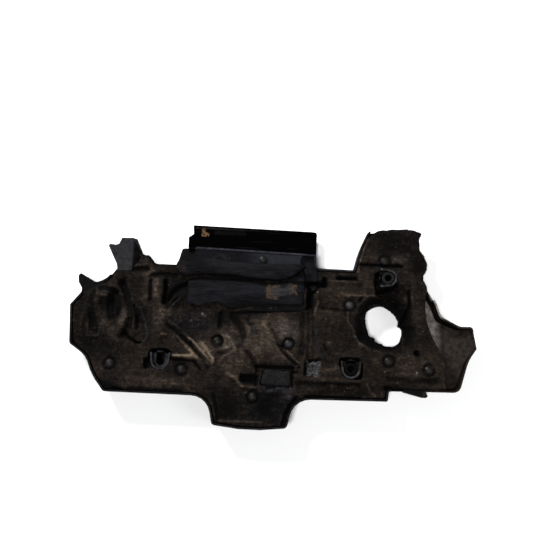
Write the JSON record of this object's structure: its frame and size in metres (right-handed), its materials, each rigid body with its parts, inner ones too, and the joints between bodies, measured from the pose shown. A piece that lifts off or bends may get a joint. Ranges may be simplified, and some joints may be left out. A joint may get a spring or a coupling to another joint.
{
  "type": "engine cover",
  "caption": "Moulded plastic engine cover with thick foam lining, oil filler hole, socket towers for ball studs, swept end wing and a gloss rear panel.",
  "frame": {"origin": "middle of the footprint, on the surface that the cover lies on", "axes": "+X along the cover towards its filler hole, +Y towards its rear panel, +Z out of its underside"},
  "size_m": [0.6327, 0.3237, 0.06],
  "materials": {
    "black_plastic": "moulded black plastic, dusty and worn",
    "mat_foam": "moulded foam with a felt skin, brown with dirt",
    "dark_foam": "dark open foam",
    "grey_foam": "grey foam",
    "rubber": "black rubber, dusty",
    "retainer_plastic": "moulded plastic, dusty"
  },
  "bodies": {
    "root": {"cover_shell": "black_plastic", "insulation_mat": "mat_foam", "rear_foam_roll": "dark_foam", "rear_foam_strip": "dark_foam", "front_foam_block": "grey_foam", "socket_grommet_front": "rubber", "socket_grommet_rear": "rubber", "mat_retainers": "retainer_plastic"}
  },
  "joints": []
}
